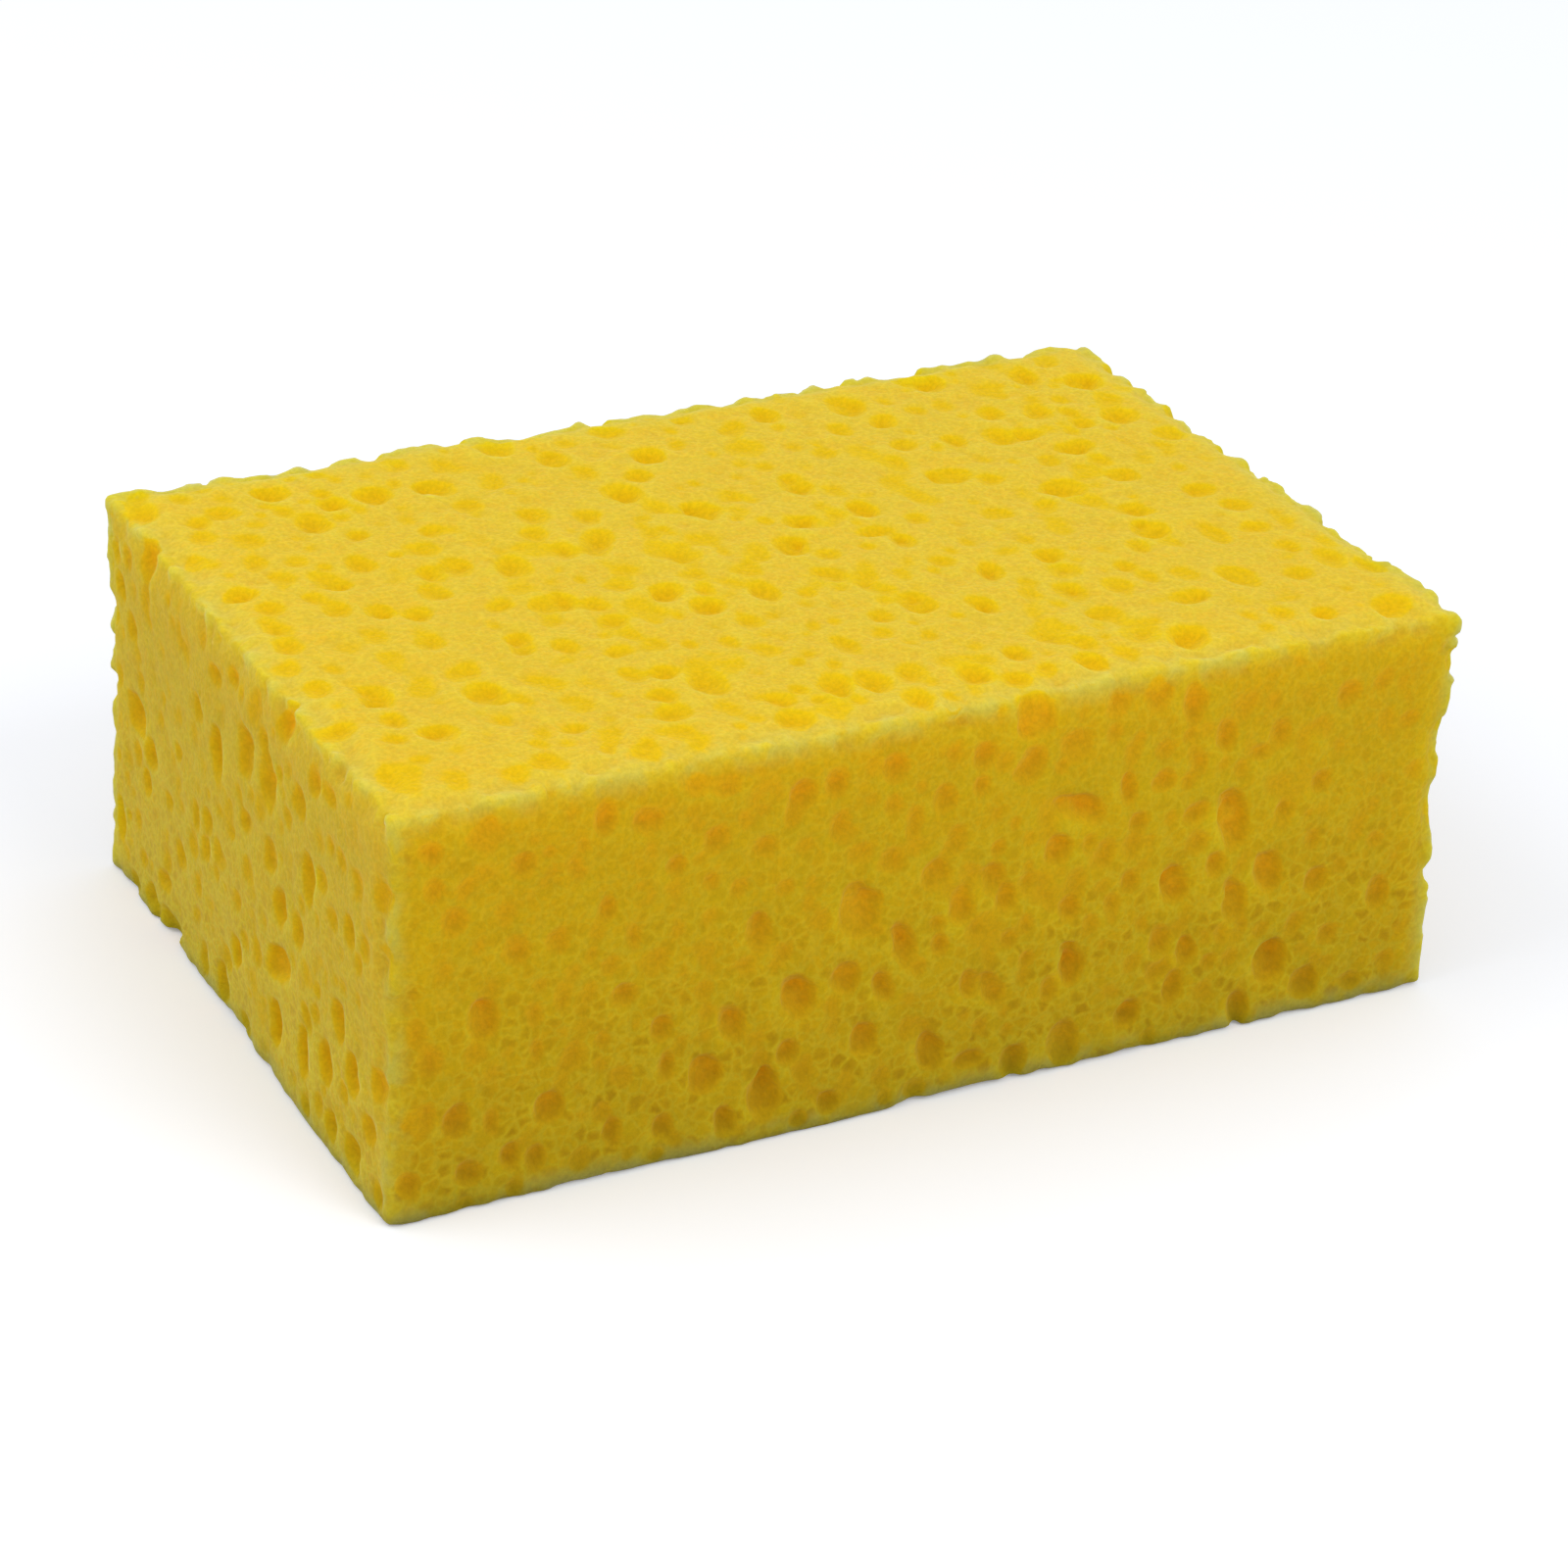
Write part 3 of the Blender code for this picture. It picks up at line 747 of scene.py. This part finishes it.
    def join_corners(self):
        """Fills with foam each square of the grid whose foam or air touches only across the corner."""
        for _ in range(JOIN_ROUNDS):
            for axis in range(3):
                values = np.moveaxis(self.values, axis, 0)
                a, b, c, d = (values[:, i : i - 1 or None, j : j - 1 or None] for i, j in SQUARE)
                pinched = ((a < 0) == (d < 0)) & ((b < 0) == (c < 0)) & ((a < 0) != (b < 0))
                for corner in (a, b, c, d):
                    corner[pinched & (corner >= 0)] = -BARELY

    def surface(self):
        """Points and four-sided faces where the values change sign, one point to a grid cell."""
        inside = self.values < 0
        shape = tuple(self.counts - 1)
        count = sum(
            inside[i : shape[0] + i, j : shape[1] + j, k : shape[2] + k].astype(np.uint8)
            for i, j, k in CORNERS
        )
        cells = np.argwhere((count > 0) & (count < 8))
        number = np.full(shape, -1, np.int32)
        number[tuple(cells.T)] = np.arange(len(cells))
        at = {c: self.values[tuple((cells + c).T)] for c in CORNERS}
        total, crossings = np.zeros((len(cells), 3)), np.zeros(len(cells))
        for first in CORNERS:
            for axis in range(3):
                if first[axis]:
                    continue
                second = tuple(1 if k == axis else first[k] for k in range(3))
                a, b = at[first], at[second]
                crosses = (a < 0) != (b < 0)
                point = np.tile(np.array(first, float), (len(cells), 1))
                point[:, axis] = np.where(crosses, a / np.where(crosses, a - b, 1), 0)
                total[crosses] += point[crosses]
                crossings += crosses
        points = self.low + PITCH * (cells + total / crossings[:, None])
        return points, np.concatenate([self.walls(inside, number, axis) for axis in range(3)])

    @staticmethod
    def walls(inside, number, axis):
        """The faces across the grid lines of one direction that go from foam to air or back."""
        first, second = [slice(1, -1)] * 3, [slice(1, -1)] * 3
        first[axis], second[axis] = slice(0, -1), slice(1, None)
        a, b = inside[tuple(first)], inside[tuple(second)]
        u, v = ((1, 2), (2, 0), (0, 1))[axis]
        made = []
        for hit, turned in ((a & ~b, False), (~a & b, True)):
            place = np.argwhere(hit)
            place[:, [u, v]] += 1
            ring = []
            for du, dv in ((1, 1), (0, 1), (0, 0), (1, 0)):
                cell = place.copy()
                cell[:, u] -= du
                cell[:, v] -= dv
                ring.append(number[tuple(cell.T)])
            made.append(np.stack(ring[::-1] if turned else ring, axis=1))
        return np.concatenate(made)


def largest_body(points, faces):
    """Only the faces of the body with the most points, so no loose crumb or sealed bubble stays."""
    label = np.arange(len(points))
    edges = np.concatenate([faces[:, [0, 1]], faces[:, [1, 2]], faces[:, [2, 3]]])
    while True:
        least = np.minimum(label[edges[:, 0]], label[edges[:, 1]])
        lower = label.copy()
        np.minimum.at(lower, label[edges[:, 0]], least)
        np.minimum.at(lower, label[edges[:, 1]], least)
        lower = lower[lower]
        if (lower == label).all():
            break
        label = lower
    names, sizes = np.unique(label, return_counts=True)
    keep = label == names[sizes.argmax()]
    renumbered = np.cumsum(keep) - 1
    return points[keep], renumbered[faces[keep[faces[:, 0]]]]


def mesh_object(name, points, faces):
    mesh = bpy.data.meshes.new(name)
    sides = faces.shape[1]
    mesh.vertices.add(len(points))
    mesh.vertices.foreach_set("co", points.astype(np.float32).ravel())
    mesh.loops.add(faces.size)
    mesh.loops.foreach_set("vertex_index", faces.astype(np.int32).ravel())
    mesh.polygons.add(len(faces))
    mesh.polygons.foreach_set("loop_start", np.arange(0, faces.size, sides, dtype=np.int32))
    mesh.update(calc_edges=True)
    made = bpy.data.objects.new(name, mesh)
    bpy.context.scene.collection.objects.link(made)
    return made


def thin_out(piece, most):
    """Applies a Decimate modifier that leaves a mesh of four-sided faces at most this many triangles."""
    thinner = piece.modifiers.new("thinner", "DECIMATE")
    thinner.ratio = min(1, most / (2 * len(piece.data.polygons)))
    graph = bpy.context.evaluated_depsgraph_get()
    thinned = bpy.data.meshes.new_from_object(piece.evaluated_get(graph))
    piece.modifiers.clear()
    old, piece.data = piece.data, thinned
    bpy.data.meshes.remove(old)


def mesh_points(mesh):
    points = np.empty(len(mesh.vertices) * 3, np.float32)
    mesh.vertices.foreach_get("co", points)
    return points.reshape(-1, 3)


def mesh_triangles(mesh):
    mesh.calc_loop_triangles()
    corners = np.empty(len(mesh.loop_triangles) * 3, np.int32)
    mesh.loop_triangles.foreach_get("vertices", corners)
    return corners.reshape(-1, 3)


def unfold(mesh):
    """Moves the points of triangles that thinning out has folded over to the middle of their neighbours."""
    points, corners = mesh_points(mesh), mesh_triangles(mesh)
    sides = np.sort(np.concatenate([corners[:, [0, 1]], corners[:, [1, 2]], corners[:, [2, 0]]]), axis=1)
    order = np.lexsort(sides.T)
    first, second = order[::2] % len(corners), order[1::2] % len(corners)
    for _ in range(UNFOLD_ROUNDS):
        a, b, c = (points[corners[:, k]] for k in range(3))
        facing = np.cross(b - a, c - a)
        facing /= np.linalg.norm(facing, axis=1, keepdims=True)
        folded = (facing[first] * facing[second]).sum(axis=1) < FOLDED
        moved = np.unique(corners[np.concatenate([first[folded], second[folded]])])
        near = sides[np.isin(sides, moved).any(axis=1)]
        near = np.unique(np.concatenate([near, near[:, ::-1]]), axis=0)
        for point in moved:
            points[point] = (points[point] + points[near[near[:, 0] == point, 1]].mean(axis=0)) / 2
    mesh.vertices.foreach_set("co", points.ravel())
    mesh.update()


def mark_places(piece, field, low, high):
    """Stores how deep each point lies under the cut skin, and how far from the block's edges."""
    points = mesh_points(piece.data)
    gaps = np.minimum(points - np.array(low), np.array(high) - points)
    sideways = gaps[:, :2].min(axis=1)
    from_top = high.z - points[:, 2]
    from_left = points[:, 0] - low.x
    above = np.clip((sideways - from_top) / TURNS_OVER, 0, 1)
    left = np.clip((np.minimum(gaps[:, 1], from_top) - from_left) / TURNS_OVER, 0, 1)
    values = {
        "pore_depth": field.depth(points),
        "edge_distance": np.maximum(np.sort(gaps, axis=1)[:, 1], 0) * (1 + above * (EDGE_WIDER_ABOVE - 1)),
        "opens_up": above,
        # The top and the left end, the faces that the lamps light, which get painted sheen
        "lit_faces": np.maximum(above, left),
    }
    for name, found in values.items():
        attribute = piece.data.attributes.new(name, "FLOAT", "POINT")
        attribute.data.foreach_set("value", found.astype(np.float32))


def foam_surface(low, high):
    faces = cut_faces(low, high)
    field = FoamField(low, high)
    large = large_pores(faces, high.z - low.z)
    for pore in large:
        field.carve(pore.as_shown())
    for pore in fine_pores(faces, large):
        field.carve(pore)
    field.soften()
    field.join_corners()
    points, walls = largest_body(*field.surface())
    piece = mesh_object("sponge_foam", points, walls)
    thin_out(piece, MOST_TRIANGLES)
    unfold(piece.data)
    piece.data.shade_smooth()
    mark_places(piece, field, low, high)
    return piece


class Nodes:
    """Short ways to add and link the nodes of a material or of the world."""

    def __init__(self, owner):
        self.owner = owner
        owner.use_nodes = True
        self.tree = owner.node_tree

    def add(self, kind, inputs=(), **settings):
        node = self.tree.nodes.new("ShaderNode" + kind)
        for key, value in settings.items():
            setattr(node, key, value)
        for key, value in dict(inputs).items():
            self.put(value, node.inputs[key])
        return node

    def put(self, value, socket):
        if isinstance(value, bpy.types.NodeSocket):
            self.tree.links.new(value, socket)
        else:
            socket.default_value = value

    def span(self, value, start, stop, low=0.0, high=1.0):
        inputs = {"Value": value, "From Min": start, "From Max": stop, "To Min": low, "To Max": high}
        return self.add("MapRange", inputs, interpolation_type="SMOOTHSTEP").outputs["Result"]

    def mix(self, share, first, second, blend="MIX"):
        node = self.add("Mix", data_type="RGBA", blend_type=blend)
        self.put(share, node.inputs["Factor"])
        self.put(first, [s for s in node.inputs if s.name == "A" and s.type == "RGBA"][0])
        self.put(second, [s for s in node.inputs if s.name == "B" and s.type == "RGBA"][0])
        return [s for s in node.outputs if s.type == "RGBA"][0]

    def math(self, operation, first, second):
        return self.add("Math", {0: first, 1: second}, operation=operation).outputs[0]

    def stored(self, name):
        """What mark_places stored at each point under this name."""
        return self.add("Attribute", attribute_name=name).outputs["Fac"]


def small_cells(nodes, place, height, lit_faces):
    """Cells too small for the mesh: how near a wall between them is, and where one lies open as a pit."""
    bent = nodes.add("TexNoise", {"Vector": place, **BENDS}).outputs["Color"]
    bent = nodes.add("VectorMath", {0: bent, 3: BENT_BY}, operation="SCALE").outputs["Vector"]
    bent = nodes.add("VectorMath", {0: bent, 1: place}, operation="ADD").outputs["Vector"]
    cells = {"Vector": bent, "Scale": CELLS_PER_METRE}
    wall = nodes.add("TexVoronoi", cells, feature="DISTANCE_TO_EDGE").outputs["Distance"]
    chance = nodes.add("TexVoronoi", cells, feature="F1").outputs["Color"]
    chance = nodes.add("SeparateColor", {0: chance}).outputs[0]
    chosen = nodes.span(chance, 1 - PITS_SHOWN, 1)
    shown = nodes.math("MULTIPLY", chosen, nodes.span(lit_faces, 0, 1, 1, 1 - LIT_FACES_HIDE))
    # Painted shade in the pits where cells lie open
    pit_shade = nodes.math("MULTIPLY", nodes.span(wall, *PIT_REACH), shown)
    pit_shade = nodes.math("MULTIPLY", pit_shade, nodes.span(height, *CELL_HEIGHTS, *PIT_STRENGTH))
    web = nodes.span(wall, *WEB_REACH, 1, 0)
    web = nodes.math("MULTIPLY", web, nodes.span(height, *CELL_HEIGHTS, *WEB_STRENGTH))
    return web, pit_shade


def skin_colour(nodes, place, height, cloud, lit_faces):
    web, pit_shade = small_cells(nodes, place, height, lit_faces)
    skin = nodes.mix(nodes.span(cloud, *CLOUD_RANGE), SKIN, SKIN_DEEPER)
    skin = nodes.mix(web, skin, SKIN_PALER)
    # Painted shade in the open pits
    skin = nodes.mix(pit_shade, skin, PIT_SHADE)
    # Painted sheen: the faces that the lamps light are made paler
    return nodes.mix(lit_faces, skin, PAINTED_SHEEN, "ADD")


def pore_colour(nodes, depth, above):
    # Painted light: pores on top in yellower colours, and deep ones in the sides painted brighter
    shallow = nodes.mix(above, PORE, PORE_ABOVE)
    return nodes.mix(nodes.span(depth, *DEEP), shallow, nodes.mix(above, PORE_DEEP, PORE_ABOVE_DEEP))


def painted_edge_light(nodes, depth, edge, above, cloud):
    """How strongly the painted light along the edges shows: on the skin, and in blotches."""
    wanders = nodes.span(cloud, *CLOUD_RANGE, -EDGE_WANDERS / 2, EDGE_WANDERS / 2)
    edge = nodes.math("ADD", edge, nodes.math("MULTIPLY", above, wanders))
    near = nodes.math("MULTIPLY", nodes.span(edge, *NEAR_EDGE, 1, 0), nodes.span(depth, *SHALLOW, 1, 0))
    return nodes.math("MULTIPLY", near, nodes.span(cloud, *EDGE_CLOUD_RANGE, *EDGE_STRENGTH))


def foam_shade(nodes, fuzz, height, above, lit_faces):
    """The foam's colour factor: the felt, painted light and shade in pores, and painted shade low down."""
    # Painted shade on pore walls that face up, and painted light on those that face down
    upward = nodes.add("SeparateXYZ", {0: nodes.add("TexCoord").outputs["Normal"]}).outputs["Z"]
    slanting = nodes.math("SUBTRACT", 1.0, nodes.math("ABSOLUTE", upward, 0))
    upward = nodes.math("MULTIPLY", upward, slanting)
    upward = nodes.math("MULTIPLY", upward, nodes.span(above, 0, EVEN_UP_TO, PAINTED_WALL_SHADE, 0))
    # Painted shade low on the faces that the lamps leave in shade
    low_shade = nodes.math("SUBTRACT", 1.0, lit_faces)
    low_shade = nodes.math("MULTIPLY", low_shade, nodes.span(height, *LOW_HEIGHTS, LOW_PAINTED_SHADE, 0))
    left = nodes.math("SUBTRACT", nodes.math("SUBTRACT", 1.0, upward), low_shade)
    return nodes.math("MULTIPLY", nodes.span(fuzz, *FUZZ_RANGE, *FUZZ_SHADES), left)


def foam_material():
    """Pale, felt-like cut cells over the block, and smooth deeper yellow in the pores."""
    nodes = Nodes(bpy.data.materials.new("foam"))
    place = nodes.add("TexCoord").outputs["Object"]
    height = nodes.add("SeparateXYZ", {0: place}).outputs["Z"]
    fuzz = nodes.add("TexNoise", {"Vector": place, **FUZZ}).outputs["Fac"]
    cloud = nodes.add("TexNoise", {"Vector": place, **CLOUD}).outputs["Fac"]
    depth, edge = nodes.stored("pore_depth"), nodes.stored("edge_distance")
    above, lit_faces = nodes.stored("opens_up"), nodes.stored("lit_faces")

    skin = skin_colour(nodes, place, height, cloud, lit_faces)
    colour = nodes.mix(nodes.span(depth, *SHALLOW), skin, pore_colour(nodes, depth, above))
    # Painted light: a pale band along the edges
    colour = nodes.mix(painted_edge_light(nodes, depth, edge, above, cloud), colour, PAINTED_EDGE_LIGHT)
    shade = foam_shade(nodes, fuzz, height, above, lit_faces)
    grey = nodes.add("CombineColor", {0: shade, 1: shade, 2: shade}).outputs[0]
    colour = nodes.mix(1.0, colour, grey, "MULTIPLY")

    shader = nodes.tree.nodes["Principled BSDF"]
    nodes.put(colour, shader.inputs["Base Color"])
    bumps = nodes.add("Bump", {"Height": fuzz, **FUZZ_BUMPS})
    nodes.put(bumps.outputs["Normal"], shader.inputs["Normal"])
    for name, value in FOAM_FINISH.items():
        shader.inputs[name].default_value = value
    return nodes.owner


def shows_background(nodes):
    """1 on rays that show the background to the camera, also mirrored or through glass, or else 0."""
    rays = nodes.add("LightPath").outputs
    beyond = nodes.math("MAXIMUM", rays["Is Glossy Ray"], rays["Is Transmission Ray"])
    return nodes.math("MAXIMUM", rays["Is Camera Ray"], beyond)


def floor():
    """A wide white floor that keeps the sponge's shadow: for the camera, part of its white is its own."""
    bpy.ops.mesh.primitive_circle_add(vertices=FLOOR_SIDES, radius=FLOOR_RADIUS, fill_type="NGON")
    plane = bpy.context.object
    plane.name = "floor"
    nodes = Nodes(bpy.data.materials.new("floor white"))
    glow = nodes.add("Emission", {"Color": (1, 1, 1, 1), "Strength": FLOOR_GLOW})
    seen = nodes.add("BsdfDiffuse", {"Color": FLOOR_SEEN})
    unseen = nodes.add("BsdfDiffuse", {"Color": FLOOR_UNSEEN})
    bright = nodes.add("AddShader", {0: seen.outputs[0], 1: glow.outputs[0]})
    either = {0: shows_background(nodes), 1: unseen.outputs[0], 2: bright.outputs[0]}
    shown = nodes.add("MixShader", either)
    nodes.put(shown.outputs[0], nodes.tree.nodes["Material Output"].inputs["Surface"])
    plane.data.materials.append(nodes.owner)


def soft_lamp(name, place, width, power):
    data = bpy.data.lights.new(name, "AREA")
    data.shape = "DISK"
    data.size = width
    data.energy = power
    lamp = bpy.data.objects.new(name, data)
    lamp.location = place
    lamp.rotation_euler = (Vector(LAMPS_AIM) - Vector(place)).to_track_quat("-Z", "Y").to_euler()
    bpy.context.scene.collection.objects.link(lamp)


def studio():
    nodes = Nodes(bpy.data.worlds.new("studio"))
    bpy.context.scene.world = nodes.owner
    back = nodes.tree.nodes["Background"]
    back.inputs["Color"].default_value = (1, 1, 1, 1)
    nodes.put(nodes.span(shows_background(nodes), 0, 1, WORLD_LIGHT, WHITE), back.inputs["Strength"])
    for lamp in LAMPS:
        soft_lamp(*lamp)


def camera():
    azimuth, elevation, roll = map(math.radians, (CAMERA_AZIMUTH, CAMERA_ELEVATION, CAMERA_ROLL))
    back = Vector(
        (
            math.sin(azimuth) * math.cos(elevation),
            -math.cos(azimuth) * math.cos(elevation),
            math.sin(elevation),
        )
    )
    data = bpy.data.cameras.new("camera")
    data.lens = CAMERA_LENS
    made = bpy.data.objects.new("camera", data)
    made.rotation_mode = "QUATERNION"
    made.location = Vector(CAMERA_TARGET) + back * CAMERA_DISTANCE
    level = (-back).to_track_quat("-Z", "Y")
    made.rotation_quaternion = level @ Matrix.Rotation(roll, 3, "Z").to_quaternion()
    bpy.context.scene.collection.objects.link(made)
    bpy.context.scene.camera = made


def main():
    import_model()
    bpy.context.scene.view_settings.view_transform = "Standard"
    piece = foam_surface(*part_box("foam_block"))
    piece.data.materials.clear()
    piece.data.materials.append(foam_material())
    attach(piece, "root")
    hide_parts("foam_block")
    floor()
    studio()
    camera()


main()
